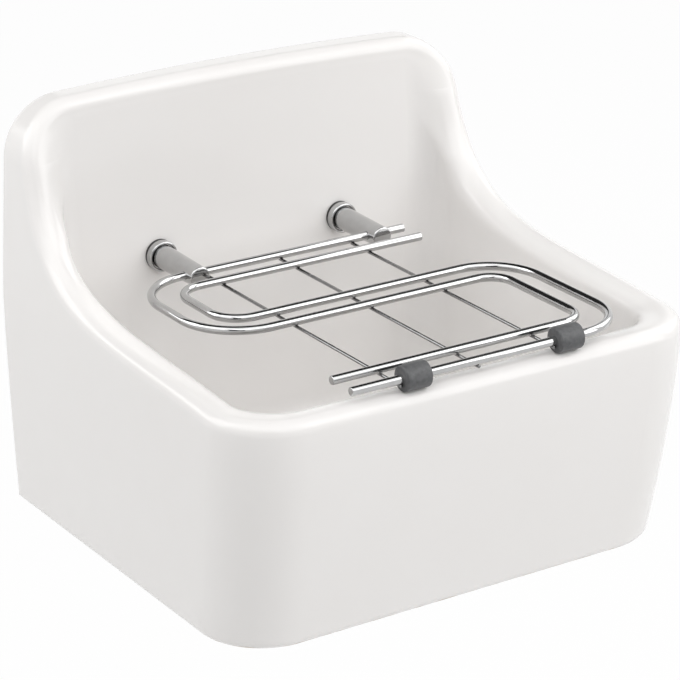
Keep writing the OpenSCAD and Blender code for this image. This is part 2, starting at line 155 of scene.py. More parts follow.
def outward(obj):
    """Doubles are merged, and all faces are turned outwards."""
    only(obj)
    bpy.ops.object.mode_set(mode="EDIT")
    bpy.ops.mesh.select_all(action="SELECT")
    bpy.ops.mesh.remove_doubles(threshold=SAME_POINT)
    bpy.ops.mesh.normals_make_consistent(inside=False)
    bpy.ops.object.mode_set(mode="OBJECT")
    return obj


def cut(obj, tool):
    """The tool's shape is cut out of the piece, and the tool is thrown away."""
    only(obj)
    m = obj.modifiers.new("cut", "BOOLEAN")
    m.object, m.operation, m.solver = tool, "DIFFERENCE", "EXACT"
    bpy.ops.object.modifier_apply(modifier=m.name)
    bpy.data.objects.remove(tool, do_unlink=True)
    return obj


def drill(x, y, z, radius, depth, turn=(0, 0, 0), vertices=HOLE_SIDES):
    """A drill of that radius, centred on the point, all in millimetres."""
    nothing_selected()
    bpy.ops.mesh.primitive_cylinder_add(
        vertices=vertices, radius=radius * MM, depth=depth * MM,
        location=(x * MM, y * MM, z * MM), rotation=turn)
    tool = bpy.context.object
    bpy.ops.object.transform_apply(location=True, rotation=True, scale=True)
    return tool


def turned(name, start, way, profile, vertices=TURNED_SIDES):
    """A turned piece: a disc is extruded along its axis and resized along the profile.

    The profile holds the (distance from the start, radius) of each step. It and the
    start are in millimetres.
    """
    way = Vector(way)
    start = Vector(start) * MM
    nothing_selected()
    distance, radius = profile[0]
    bpy.ops.mesh.primitive_circle_add(
        vertices=vertices, radius=radius * MM, fill_type="NGON",
        location=start + way * distance * MM,
        rotation=way.to_track_quat("Z", "Y").to_euler())
    obj = bpy.context.object
    bpy.ops.object.transform_apply(location=True, rotation=True, scale=True)
    bpy.ops.object.mode_set(mode="EDIT")
    bpy.ops.mesh.select_all(action="SELECT")
    for d, r in profile[1:]:
        bpy.ops.mesh.extrude_region_move(
            TRANSFORM_OT_translate={"value": way * (d - distance) * MM})
        if abs(r - radius) > 1e-6:
            k = r / radius
            bpy.ops.transform.resize(value=(k, k, k), center_override=start + way * d * MM)
        distance, radius = d, r
    bpy.ops.object.mode_set(mode="OBJECT")
    outward(obj)
    return settle(obj, name)


def wears(obj, material, body, slot, *nodes):
    """Gives a piece its material and body, and hides the CAD nodes it stands for."""
    obj.data.materials.clear()
    obj.data.materials.append(material)
    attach(obj, body)
    if nodes:
        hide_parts(*nodes)
    return obj


def smooth_copy(node, material, body, slot, degrees=30, forward=0.0):
    """A CAD node's shape, welded, shaded smooth and set forward by that many millimetres."""
    nothing_selected()
    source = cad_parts[node]
    obj = source.copy()
    obj.data = source.data.copy()
    bpy.context.scene.collection.objects.link(obj)
    obj.parent = None
    obj.matrix_world.identity()
    obj.name = obj.data.name = node + "_finished"
    only(obj)
    bpy.ops.object.mode_set(mode="EDIT")
    bpy.ops.mesh.select_all(action="SELECT")
    bpy.ops.mesh.remove_doubles(threshold=SAME_POINT)
    if forward:
        bpy.ops.transform.translate(value=(0, -forward * MM, 0))
    bpy.ops.object.mode_set(mode="OBJECT")
    smooth(obj, degrees)
    return wears(obj, material, body, slot, node)


# ---------------------------------------------------------------- materials
def new_material(name):
    """A material with one Principled shader: it, its nodes, the shader and its coordinates."""
    m = bpy.data.materials.new(name)
    m.use_nodes = True
    tree = m.node_tree
    tree.nodes.clear()
    shader = tree.nodes.new("ShaderNodeBsdfPrincipled")
    out = tree.nodes.new("ShaderNodeOutputMaterial")
    tree.links.new(shader.outputs["BSDF"], out.inputs["Surface"])
    place = tree.nodes.new("ShaderNodeTexCoord")
    return m, tree, shader, place


def noise(tree, place, scale, detail=2.0, stretch=None):
    """Noise over the piece, drawn out along each axis where stretch is given."""
    n = tree.nodes.new("ShaderNodeTexNoise")
    n.inputs["Scale"].default_value = scale
    n.inputs["Detail"].default_value = detail
    if stretch:
        mapping = tree.nodes.new("ShaderNodeMapping")
        mapping.inputs["Scale"].default_value = stretch
        tree.links.new(place.outputs["Object"], mapping.inputs["Vector"])
        tree.links.new(mapping.outputs["Vector"], n.inputs["Vector"])
    else:
        tree.links.new(place.outputs["Object"], n.inputs["Vector"])
    return n.outputs["Fac"]


def ramp(tree, value, low, high, a=0.0, b=1.0):
    """The value is spread from low..high to a..b."""
    r = tree.nodes.new("ShaderNodeMapRange")
    r.inputs["From Min"].default_value = low
    r.inputs["From Max"].default_value = high
    r.inputs["To Min"].default_value = a
    r.inputs["To Max"].default_value = b
    tree.links.new(value, r.inputs["Value"])
    return r.outputs["Result"]


def blend_colours(tree, factor, a, b):
    """Colour a where the factor is 0, and b where it is 1."""
    m = tree.nodes.new("ShaderNodeMix")
    m.data_type = "RGBA"
    colour_a = [s for s in m.inputs if s.name == "A" and s.type == "RGBA"][0]
    colour_b = [s for s in m.inputs if s.name == "B" and s.type == "RGBA"][0]
    for socket, colour in ((colour_a, a), (colour_b, b)):
        if isinstance(colour, tuple):
            socket.default_value = (*colour, 1.0)
        else:
            tree.links.new(colour, socket)
    factor_in = [s for s in m.inputs if s.name == "Factor" and s.type == "VALUE"][0]
    tree.links.new(factor, factor_in)
    return [s for s in m.outputs if s.type == "RGBA"][0]


def mix_values(tree, factor, a, b):
    """Value a where the factor is 0, and b where it is 1."""
    m = tree.nodes.new("ShaderNodeMix")
    m.data_type = "FLOAT"
    for socket, value in ((m.inputs[2], a), (m.inputs[3], b)):
        if isinstance(value, float):
            socket.default_value = value
        else:
            tree.links.new(value, socket)
    tree.links.new(factor, m.inputs[0])
    return m.outputs[0]


def bump(tree, shader, height, strength, distance):
    """Gives the surface that relief, its distance in metres."""
    b = tree.nodes.new("ShaderNodeBump")
    b.inputs["Strength"].default_value = strength
    b.inputs["Distance"].default_value = distance
    tree.links.new(height, b.inputs["Height"])
    tree.links.new(b.outputs["Normal"], shader.inputs["Normal"])


def math_node(tree, operation, a, b=None):
    """One step of arithmetic on numbers or on the values of other nodes."""
    m = tree.nodes.new("ShaderNodeMath")
    m.operation = operation
    for i, value in enumerate((a, b)):
        if value is None:
            continue
        if isinstance(value, (int, float)):
            m.inputs[i].default_value = value
        else:
            tree.links.new(value, m.inputs[i])
    return m.outputs[0]


# Bare clay: how deep the band without glaze is at its edge, how softly the glaze ends
# there, and how far its line wavers, in metres
BARE_DEPTH, BARE_SOFT, BARE_WAVER = 0.0025, 0.001, 0.0012


def glaze_material():
    """White glaze, a little wavy, over buff clay that is bare on the wall side and below."""
    m, tree, shader, place = new_material("white_glaze")
    shader.inputs["IOR"].default_value = 1.45
    shader.inputs["Coat Weight"].default_value = 0.1
    shader.inputs["Coat Roughness"].default_value = 0.04
    shader.inputs["Coat IOR"].default_value = 1.5
    xyz = tree.nodes.new("ShaderNodeSeparateXYZ")
    tree.links.new(place.outputs["Object"], xyz.inputs["Vector"])
    edge = ramp(tree, noise(tree, place, 60.0, 3.0), 0.3, 0.7, -BARE_WAVER, BARE_WAVER)
    from_wall = math_node(tree, "ADD", xyz.outputs["Y"], edge)
    height_up = math_node(tree, "ADD", xyz.outputs["Z"], edge)
    glaze_ends = BASE_Z * MM + BARE_DEPTH
    bare_back = ramp(tree, from_wall, -BARE_DEPTH, BARE_SOFT - BARE_DEPTH)
    bare_base = ramp(tree, height_up, glaze_ends, glaze_ends - BARE_SOFT)
    bare = math_node(tree, "MAXIMUM", bare_back, bare_base)
    cloud = noise(tree, place, 9.0, 3.0)
    white = blend_colours(tree, cloud, (0.84, 0.82, 0.803), (0.86, 0.845, 0.832))
    clay = blend_colours(tree, noise(tree, place, 140.0, 6.0), (0.42, 0.35, 0.26), (0.62, 0.54, 0.43))
    tree.links.new(blend_colours(tree, bare, white, clay), shader.inputs["Base Color"])
    gloss = ramp(tree, noise(tree, place, 22.0, 2.0), 0.3, 0.7, 0.14, 0.2)
    tree.links.new(mix_values(tree, bare, gloss, 0.85), shader.inputs["Roughness"])
    waves = noise(tree, place, 14.0, 1.0)
    grain = noise(tree, place, 900.0, 4.0)
    height = mix_values(tree, bare, waves, grain)
    bump(tree, shader, height, 0.06, 0.004)
    return m


def chrome_material():
    """Polished chrome plate, with faint water marks."""
    m, tree, shader, place = new_material("polished_chrome")
    shader.inputs["Metallic"].default_value = 1.0
    marks = noise(tree, place, 120.0, 4.0)
    tint = blend_colours(tree, marks, (0.43, 0.43, 0.43), (0.52, 0.52, 0.52))
    tree.links.new(tint, shader.inputs["Base Color"])
    tree.links.new(ramp(tree, marks, 0.35, 0.75, 0.05, 0.12), shader.inputs["Roughness"])
    bump(tree, shader, noise(tree, place, 400.0, 2.0), 0.02, 0.0004)
    return m


def wire_material():
    """Drawn wire, plated a little duller than the rods."""
    m, tree, shader, place = new_material("plated_wire")
    shader.inputs["Metallic"].default_value = 1.0
    marks = noise(tree, place, 200.0, 4.0)
    tint = blend_colours(tree, marks, (0.20, 0.20, 0.20), (0.30, 0.30, 0.30))
    tree.links.new(tint, shader.inputs["Base Color"])
    tree.links.new(ramp(tree, marks, 0.3, 0.7, 0.16, 0.3), shader.inputs["Roughness"])
    return m


def rubber_material(name, dark, light, rough):
    """Moulded rubber with a fine dry bloom."""
    m, tree, shader, place = new_material(name)
    bloom = noise(tree, place, 260.0, 5.0)
    tint = blend_colours(tree, ramp(tree, bloom, 0.3, 0.7), dark, light)
    tree.links.new(tint, shader.inputs["Base Color"])
    tree.links.new(ramp(tree, bloom, 0.3, 0.7, rough - 0.07, rough + 0.07), shader.inputs["Roughness"])
    bump(tree, shader, noise(tree, place, 1500.0, 3.0), 0.25, 0.0003)
    return m


def nylon_material():
    """Natural nylon, milky and a little cloudy."""
    m, tree, shader, place = new_material("natural_nylon")
    shader.inputs["Subsurface Weight"].default_value = 0.1
    shader.inputs["Subsurface Radius"].default_value = (0.004, 0.003, 0.002)
    cloud = noise(tree, place, 90.0, 3.0)
    tint = blend_colours(tree, cloud, (0.66, 0.63, 0.55), (0.75, 0.72, 0.65))
    tree.links.new(tint, shader.inputs["Base Color"])
    tree.links.new(ramp(tree, cloud, 0.3, 0.7, 0.38, 0.5), shader.inputs["Roughness"])
    return m


def brass_material():
    """Machined brass, with marks that run round it."""
    m, tree, shader, place = new_material("machined_brass")
    shader.inputs["Metallic"].default_value = 1.0
    marks = noise(tree, place, 60.0, 4.0, (1, 1, 14))
    tint = blend_colours(tree, marks, (0.62, 0.44, 0.19), (0.78, 0.6, 0.31))
    tree.links.new(tint, shader.inputs["Base Color"])
    tree.links.new(ramp(tree, marks, 0.3, 0.7, 0.22, 0.36), shader.inputs["Roughness"])
    bump(tree, shader, marks, 0.08, 0.0003)
    return m


GLAZE = glaze_material()
CHROME = chrome_material()
WIRE = wire_material()
BUFFER_RUBBER = rubber_material("buffer_rubber", (0.062, 0.063, 0.066), (0.108, 0.11, 0.113), 0.5)
SEAL_RUBBER = rubber_material("seal_rubber", (0.018, 0.018, 0.018), (0.04, 0.04, 0.04), 0.6)
NYLON = nylon_material()
BRASS = brass_material()


# ---------------------------------------------------------------- basin
def mix(a, b, t):
    """The point or number at share t of the way from a to b."""
    return a + (b - a) * t


def bezier(p, t):
    """Point at share t along the curve with those four handles."""
    s = 1 - t
    return s**3 * p[0] + 3 * s * s * t * p[1] + 3 * s * t * t * p[2] + t**3 * p[3]


def bezier_way(p, t):
    """Direction of that curve there, up to its length."""
    s = 1 - t
    return s * s * (p[1] - p[0]) + 2 * s * t * (p[2] - p[1]) + t * t * (p[3] - p[2])


def outside_w(z):
    """Half the basin's width at height z."""
    low = (max(0, WIDE_H - z) / WIDE_H) ** DRAFT_BOW
    s = max(0, z - WIDE_H)
    return BASIN_W / 2 - (BASIN_W - BASE_W) / 2 * low - SIDE_LEAN * s * s / (s + LEAN_BLEND)


def outside_d(z):
    """The basin's depth from the wall at height z."""
    return BASIN_D - (BASIN_D - BASE_D) * (max(0, WIDE_H - z) / WIDE_H) ** DRAFT_BOW


def bowl_lean(z):
    """How far the bowl's wall has come in at height z."""
    return max(0, WIDE_H - z) * math.tan(BOWL_DRAFT)


def inside_w(z):
    """Half the bowl's width at height z."""
    return outside_w(max(z, WIDE_H)) - WALL - bowl_lean(z)


def inside_front(z):
    """Where the bowl's front wall stands at height z."""
    return WALL - BASIN_D + bowl_lean(z)


def inside_back(z):
    """Where the splashback's face, and the bowl's back below it, stands at height z."""
    return -BACK_WALL - (BASIN_H - z) * math.tan(BACK_DRAFT)


def corner_in(z):
    """Radius of the bowl's back corners at height z: small beside the wings, large in the bowl."""
    s = min(1, max(0, WING_Z - z) / (WING_Z - WIDE_H))
    return mix(BACK_R, DEEP_R, s ** 1.5)


def corner_x(z):
    """Where the left back corner of the bowl gives way to its back, at height z."""
    return corner_in(z) - inside_w(z)


def outside(q, z):
    """The outer wall's left half at height z: q runs along the front, then its corner."""
    w, d = outside_w(z) - CORNER_R, outside_d(z) - CORNER_R
    if q < 1:
        return Vector((-q * w, -d - CORNER_R, z))
    a = math.pi / 2 * (q - 1)
    return Vector((-w - CORNER_R * math.sin(a), -d - CORNER_R * math.cos(a), z))


def inside(q, z):
    """The bowl's left half at height z.

    From 0 to 5, q runs along the front, the front corner, the side, the back corner
    and the back.
    """
    w, f, b, r = inside_w(z), inside_front(z), inside_back(z), corner_in(z)
    s = q - math.floor(q)
    a = math.pi / 2 * s
    if q < 1:
        return Vector((-q * (w - IN_R), f, z))
    if q < 2:
        return Vector((-(w - IN_R) - IN_R * math.sin(a), f + IN_R - IN_R * math.cos(a), z))
    if q < 3:
        return Vector((-w, mix(f + IN_R, b - r, s), z))
    if q < 4:
        return Vector((-(w - r) - r * math.cos(a), b - r + r * math.sin(a), z))
    return Vector((-(w - r) * (5 - q), b, z))


def inward(q):
    """The way from the bowl's wall towards its middle, at the same q."""
    a = math.pi / 2 * (q - math.floor(q))
    if q < 1:
        return Vector((0, 1, 0))
    if q < 2:
        return Vector((math.sin(a), math.cos(a), 0))
    if q < 3:
        return Vector((1, 0, 0))
    if q < 4:
        return Vector((math.cos(a), -math.sin(a), 0))
    return Vector((0, -1, 0))


# Stations round half of the rim, and points along each section
FRONT_N, CORNER_N, SIDE_N, TOP_N, LEDGE_N = 10, 24, 60, 30, 14
EDGE_K, WALL_K, ROUND_K, LAND_K, BOWL_K, COVE_K = 5, 14, 10, 12, 14, 10
# Shares of the side at which the wall's foot turns up the back, and the wing begins
FOOT_SHARE, WING_SHARE = 11 / 20, 16 / 20
# Share of the bowl's back that the top corner's sections take at the floor
CORNER_SHARE = 0.1
# How late along the side its bowl swerves to meet the back corner
SWERVE = 4
JUST_UNDER = 1 - 1e-6
LEAN_A = math.atan(SIDE_LEAN)
TOP_Z = BASIN_H - CROWN - TOP_R
WING_Z = TOP_Z + TOP_R * math.sin(LEAN_A)
TOP_X = outside_w(WING_Z) - TOP_R * math.cos(LEAN_A)
# How much of the wing's fading into the splashback keeps to the wing's rake
FOLLOW = RAKE * TOP_R * math.cos(LEAN_A) * (1 - 2 * LEAN_A / math.pi) / (WING_D - BACK_WALL - SLAB_OVER)

# Top line of the wing, as (y, z), from the front rim up to the splashback
ARM_0 = Vector((CORNER_R - BASIN_D, FRONT_H))
ARM_3 = Vector((-WING_D, WING_Z))
ARM_1 = ARM_0 + ARM_FRONT * Vector((ARM_3.x - ARM_0.x, ARM_RISE * (ARM_3.x - ARM_0.x)))
ARM_2 = ARM_3 - ARM_TOP * (WING_Z - FRONT_H) * Vector((RAKE, 1))
ARM = (ARM_0, ARM_1, ARM_2, ARM_3)
DOWN = Vector((0, 0, -1))


def section(outer, flat, out, up, land, bowl, cove):
    """One section of the wall, from its foot over the rim to the drain.

    outer  points up the outer wall, from the rounded edge to the rim
    flat   way out of the flat that the wall stands on
    out    way from the outer wall towards the bowl
    up     way in which the rim's crest looks
    land   way in which the rim comes down on the bowl's wall
    bowl   points down the bowl's wall, to the cove
    cove   way from there towards the middle of the bowl
    """
    foot, rim = outer[0], outer[-1]
    crest = rim + RIM_R * (out + up)
    start, heel = bowl[0], bowl[-1]
    handle = RIM_FULL * (start - crest).length
    over = (crest, crest + handle * out, start - handle * land, start)
    toe = heel + FLOOR_R * (cove + DOWN)
    to_drain = Vector((toe.x, toe.y - DRAIN_Y, 0)).normalized()
    row = []
    for k in range(EDGE_K):
        a = math.pi / 2 * k / EDGE_K
        row.append(foot + EDGE_R * ((1 - math.sin(a)) * out + math.cos(a) * flat))
    row += outer
    for k in range(1, ROUND_K + 1):
        a = math.pi / 2 * k / ROUND_K
        row.append(rim + RIM_R * ((1 - math.cos(a)) * out + math.sin(a) * up))
    row += [bezier(over, k / LAND_K) for k in range(1, LAND_K)]
    row += bowl
    for k in range(1, COVE_K + 1):
        a = math.pi / 2 * k / COVE_K
        row.append(heel + FLOOR_R * ((1 - math.cos(a)) * cove + math.sin(a) * DOWN))
    row.append(Vector((0, DRAIN_Y, FLOOR_T)) + DRAIN_R * to_drain)
    return row


def bowl_down(q, z):
    """Points down the bowl's wall at that q, from height z to the cove."""
    return [inside(q, mix(z, FOOT_Z, k / BOWL_K)) for k in range(BOWL_K + 1)]


def front_section(q):
    """A section of the front wall or of its corner."""
    outer = [outside(q, mix(EDGE_R, WIDE_H, k / WALL_K)) for k in range(WALL_K + 1)]
    return section(outer, DOWN, inward(q), -DOWN, DOWN, bowl_down(q, WIDE_H), inward(q))


def side_section(t):
    """A section of the side, at share t along the top line of its wing."""
    crest, way = bezier(ARM, t), bezier_way(ARM, t).normalized()
    g = max(0, (t - WING_SHARE) / (1 - WING_SHARE))
    tip = mix(Vector((-way.y, way.x)), Vector((-1, 0)), g).normalized()
    rim = crest - RIM_R * tip
    if t <= FOOT_SHARE:
        foot = Vector((mix(CORNER_R - outside_d(EDGE_R), -EDGE_R, t / FOOT_SHARE), EDGE_R))
    else:
        foot = Vector((-EDGE_R, mix(EDGE_R, WING_Z, (t - FOOT_SHARE) / (1 - FOOT_SHARE))))
    flat = DOWN if t < FOOT_SHARE - SAME_SHARE else Vector((0, 1, 0))
    if abs(t - FOOT_SHARE) < SAME_SHARE:
        flat = Vector((0, 1, -1))
    up = Vector((0, tip.x, tip.y))
    land = mix(-up, Vector((1, 0, 0)), g).normalized()
    outer = []
    for k in range(WALL_K + 1):
        p = mix(foot, rim, k / WALL_K)
        outer.append(Vector((-outside_w(p.y), p.x, p.y)))
    if t <= WING_SHARE + SAME_SHARE:
        along = min(t / WING_SHARE, JUST_UNDER)
        heel = inside(2 + along, FOOT_Z)
        side_end = inside_back(FOOT_Z) - corner_in(FOOT_Z)
        start_y = rim.x + (WALL + IN_R - CORNER_R) * (1 - along)
        bowl = []
        for k in range(BOWL_K + 1):
            z = mix(rim.y, FOOT_Z, k / BOWL_K)
            y = mix(start_y, heel.y, k / BOWL_K)
            swerve = inside_back(z) - corner_in(z) - mix(rim.x, side_end, k / BOWL_K)
            bowl.append(Vector((-inside_w(z), y + swerve * along ** SWERVE, z)))
        cove = inward(2.5)
    else:
        bowl, cove = bowl_down(3 + g, rim.y), inward(3 + min(g, JUST_UNDER))
    return section(outer, flat, Vector((1, 0, 0)), up, land, bowl, cove)


def back_point(x, z):
    """The point of the splashback's front at that x and z."""
    return Vector((x, inside_back(z), z))


def back_section(p, out, start, fade, q):
    """A section of the splashback, over its top edge at p and down to q at the floor."""
    stand = mix(BACK_WALL + SLAB_OVER, WING_D, fade)
    share = start.x / corner_x(start.z)
    outer = [Vector((p.x, mix(-EDGE_R, RIM_R - stand, k / WALL_K), p.z)) for k in range(WALL_K + 1)]
    bowl = []
    for k in range(BOWL_K + 1):
        z = mix(start.z, FOOT_Z, k / BOWL_K)
        bowl.append(back_point(corner_x(z) * mix(share, 5 - q, k / BOWL_K), z))
    land = (start - p - Vector((0, start.y, 0))).normalized()
    return section(outer, Vector((0, 1, 0)), out, Vector((0, -1, 0)), land, bowl, Vector((0, -1, 0)))


def corner_section(s):
    """A section of the splashback's top corner."""
    a, quarter = mix(LEAN_A, math.pi / 2, s), math.pi / 2 * s
    z = mix(WING_Z, BASIN_H - CROWN - SLAB_LAND, math.sin(quarter))
    p = Vector((-TOP_X - TOP_R * math.cos(a), 0, TOP_Z + TOP_R * math.sin(a)))
    start = back_point(mix(-TOP_X, corner_x(z), math.cos(quarter)), z)
    fade = mix(math.cos(quarter) ** 2, 1 - math.sin(quarter), FOLLOW)
    return back_section(p, Vector((math.cos(a), 0, -math.sin(a))), start, fade, 4 + CORNER_SHARE * s)


def ledge_section(s):
    """A section of the splashback's top edge."""
    p = Vector((-TOP_X * (1 - s), 0, BASIN_H - CROWN * (1 - s) ** 2))
    return back_section(p, DOWN, back_point(p.x, p.z - SLAB_LAND), 0, mix(4 + CORNER_SHARE, 5, s))


def rim_sections():
    """All sections, once round the rim, the first of them again at the end."""
    half = [front_section(i / FRONT_N) for i in range(FRONT_N)]
    half += [front_section(1 + i / CORNER_N) for i in range(CORNER_N)]
    half += [side_section(i / SIDE_N) for i in range(SIDE_N + 1)]
    half += [corner_section(i / TOP_N) for i in range(1, TOP_N + 1)]
    half += [ledge_section(i / LEDGE_N) for i in range(1, LEDGE_N + 1)]
    mirrored = [[Vector((-p.x, p.y, p.z)) for p in row] for row in half[-2:0:-1]]
    return half + mirrored + [half[0]]


def wrapped(ring):
    """A grid is wrapped round the sections, and its doubles are merged."""
    across, rows = len(ring), len(ring[0])
    nothing_selected()
    bpy.ops.mesh.primitive_grid_add(x_subdivisions=across - 1, y_subdivisions=rows - 1, size=1)
    obj = bpy.context.object
    for i, v in enumerate(obj.data.vertices):
        p = ring[i % across][i // across]
        v.co = (p.x * MM, p.y * MM, (p.z + BASE_Z) * MM)
    bpy.ops.object.mode_set(mode="EDIT")
    bpy.ops.mesh.select_all(action="SELECT")
    bpy.ops.mesh.remove_doubles(threshold=2 * SAME_POINT)
    bpy.ops.object.mode_set(mode="OBJECT")
    return obj


def close_ring(obj, test):
    """The ring of edges whose ends pass the test gets a face."""
    pick_edges(obj, lambda a, b: test(a) and test(b))
    bpy.ops.mesh.edge_face_add()
    bpy.ops.object.mode_set(mode="OBJECT")


def at_drain(p):
    """On the ring round the drain."""
    from_axis = math.hypot(p.x, p.y - DRAIN_Y * MM)
    return abs(from_axis - DRAIN_R * MM) < 10 * SAME_POINT and abs(p.z - (FLOOR_T + BASE_Z) * MM) < SAME_POINT


def at_wall(p):
    """On the side that stands against the wall."""
    return abs(p.y) < SAME_POINT


def at_base(p):
    """On the underside."""
    return abs(p.z - BASE_Z * MM) < SAME_POINT


def make_basin():
    """The fireclay shell: sections round the rim, closed on three sides and bored.

    Each drill runs well past the wall that it goes through.
    """
    obj = wrapped(rim_sections())
    for test in (at_drain, at_wall, at_base):
        close_ring(obj, test)
    outward(obj)
    for x in (-POST_PITCH / 2, POST_PITCH / 2):
        cut(obj, drill(x, -30, 0, FIXING_HOLE_D / 2, 80, ALONG_Y))
    cut(obj, drill(0, DRAIN_Y, BASE_Z + 20, WASTE_HOLE_D / 2, 60))
    rebate_z = BASE_Z + FLOOR_T - REBATE_T
    cut(obj, drill(0, DRAIN_Y, rebate_z + 10, REBATE_D / 2, 20))
    smooth(settle(obj, "glazed_basin"), 32)
    return wears(obj, GLAZE, "root", "glaze", "basin")


make_basin()


# ---------------------------------------------------------------- grating
LEFT_X, RIGHT_X = REACH_LEFT - BEND_LEFT, REACH_RIGHT - BEND_RIGHT
FRONT_Y = -(BASIN_D - RIM_R) - FRONT_OVER
ROD_Y = (-HINGE_OUT, -HINGE_OUT - PAIR, -HINGE_OUT - PAIR - BACK_BAY,
         -HINGE_OUT - 2 * PAIR - BACK_BAY, FRONT_Y + PAIR, FRONT_Y)
BEND_STEPS = 20


def rod_path(back, middle, front, r_left, r_right):
    """Centre line of one long rod, from its free end at the back to that at the front."""
    path = [(BACK_END, back)]

    def quarter(cx, cy, r, start, turn):
        for i in range(BEND_STEPS + 1):
            a = math.radians(start + turn * i / BEND_STEPS)
            path.append((cx + r * math.cos(a), cy + r * math.sin(a)))

    quarter(-LEFT_X, back - r_left, r_left, 90, 90)
    quarter(-LEFT_X, middle + r_left, r_left, 180, 90)
    quarter(RIGHT_X, middle - r_right, r_right, 90, -90)
    quarter(RIGHT_X, front + r_right, r_right, 0, -90)
    path.append((-FRONT_END, front))
    return path


def bent_rod(name, path, node):
    """A disc is drawn along the path, turned at each step, and its two ends are broken."""
    radius, around = ROD_D / 2 * MM, ROD_SIDES
    points = [Vector((x * MM, y * MM, 0)) for x, y in path]
    nothing_selected()
    bpy.ops.mesh.primitive_grid_add(x_subdivisions=around, y_subdivisions=len(points) - 1, size=1)
    obj = bpy.context.object
    ways = []
    for i in range(len(points)):
        before = points[max(i - 1, 0)]
        after = points[min(i + 1, len(points) - 1)]
        a = (points[i] - before).normalized() if i else (after - points[i]).normalized()
        b = (after - points[i]).normalized() if i + 1 < len(points) else a
        ways.append((a + b).normalized())
    for i, v in enumerate(obj.data.vertices):
        step, turn = divmod(i, around + 1)
        way = ways[step]
        side = Vector((-way.y, way.x, 0))
        a = 2 * math.pi * turn / around
        v.co = points[step] + radius * (math.cos(a) * side + math.sin(a) * Vector((0, 0, 1)))
    bpy.ops.object.mode_set(mode="EDIT")
    bpy.ops.mesh.select_all(action="SELECT")
    bpy.ops.mesh.remove_doubles(threshold=SAME_POINT)
    for end in (points[0], points[-1]):
        def at_end(a, b, end=end):
            level = abs(a.x - end.x) < SAME_POINT and abs(b.x - end.x) < SAME_POINT
            return level and (a - end).length < 1.2 * radius
        pick_edges(obj, at_end)
        bpy.ops.mesh.edge_face_add()
        bpy.ops.mesh.bevel(offset=ROD_BREAK * MM, segments=3, affect="EDGES")
    bpy.ops.object.mode_set(mode="OBJECT")
    outward(obj)
    smooth(settle(obj, name), 50)
    return wears(obj, CHROME, "grating", "chrome", node)


bent_rod("long_rod_outer", rod_path(ROD_Y[0], ROD_Y[3], ROD_Y[4], BEND_LEFT, BEND_RIGHT - PAIR),
         "grating_rod_outer")
bent_rod("long_rod_inner", rod_path(ROD_Y[1], ROD_Y[2], ROD_Y[5], BEND_LEFT - PAIR, BEND_RIGHT),
         "grating_rod_inner")

POST_X = POST_PITCH / 2
WIRE_LEFT = -POST_X + (POST_D + WIRE_D) / 2 + WIRE_GAP_LEFT
WIRE_RIGHT = POST_X - (POST_D + WIRE_D) / 2 - WIRE_GAP_RIGHT
WIRE_X = (WIRE_LEFT, (WIRE_LEFT + WIRE_RIGHT) / 2, WIRE_RIGHT)
WIRE_Z = -(ROD_D + WIRE_D) / 2 + WIRE_SUNK
SIDES = ("left", "middle", "right")


def make_wire(side, x):
    """A straight wire under the rods, with broken ends."""
    back, front, r = -HINGE_OUT + WIRE_OVER, FRONT_Y - WIRE_OVER, WIRE_D / 2
    length = back - front
    profile = [(0, r - WIRE_BREAK), (WIRE_BREAK, r), (length - WIRE_BREAK, r), (length, r - WIRE_BREAK)]
    wire = turned("wire_" + side, (x, back, WIRE_Z), (0, -1, 0), profile, WIRE_SIDES)
    smooth(wire, 50)
    return wears(wire, WIRE, "grating", "chrome", "cross_wire_" + side)


for side, x in zip(SIDES, WIRE_X):
    make_wire(side, x)


def make_buffer(side, x):
    """A rubber roller with rounded ends, bored for the rod."""
    r, e, bore = BUFFER_D / 2, BUFFER_EDGE, ROD_D / 2 + BORE_PLAY
    arc = [(e - e * math.cos(a), r - e + e * math.sin(a)) for a in QUARTER_ROUND]
    profile = [(0.0, bore + CUT_EDGE)] + arc + [(BUFFER_L - d, q) for d, q in reversed(arc)]
    profile.append((BUFFER_L, bore + CUT_EDGE))
    obj = turned("roller_" + side, (x, FRONT_Y, 0), (1, 0, 0), profile)
    cut(obj, drill(x + BUFFER_L / 2, FRONT_Y, 0, bore, BUFFER_L + 4, ALONG_X, BORE_SIDES))
    smooth(obj, 40)
    return wears(obj, BUFFER_RUBBER, "grating", "buffer_rubber", "buffer_" + side)


for side, x in (("left", WIRE_X[0]), ("right", WIRE_X[2])):
    make_buffer(side, x + WIRE_D / 2 + BUFFER_GAP)


# ---------------------------------------------------------------- posts
ROSE_Y = inside_back(HINGE_H) - GASKET_T


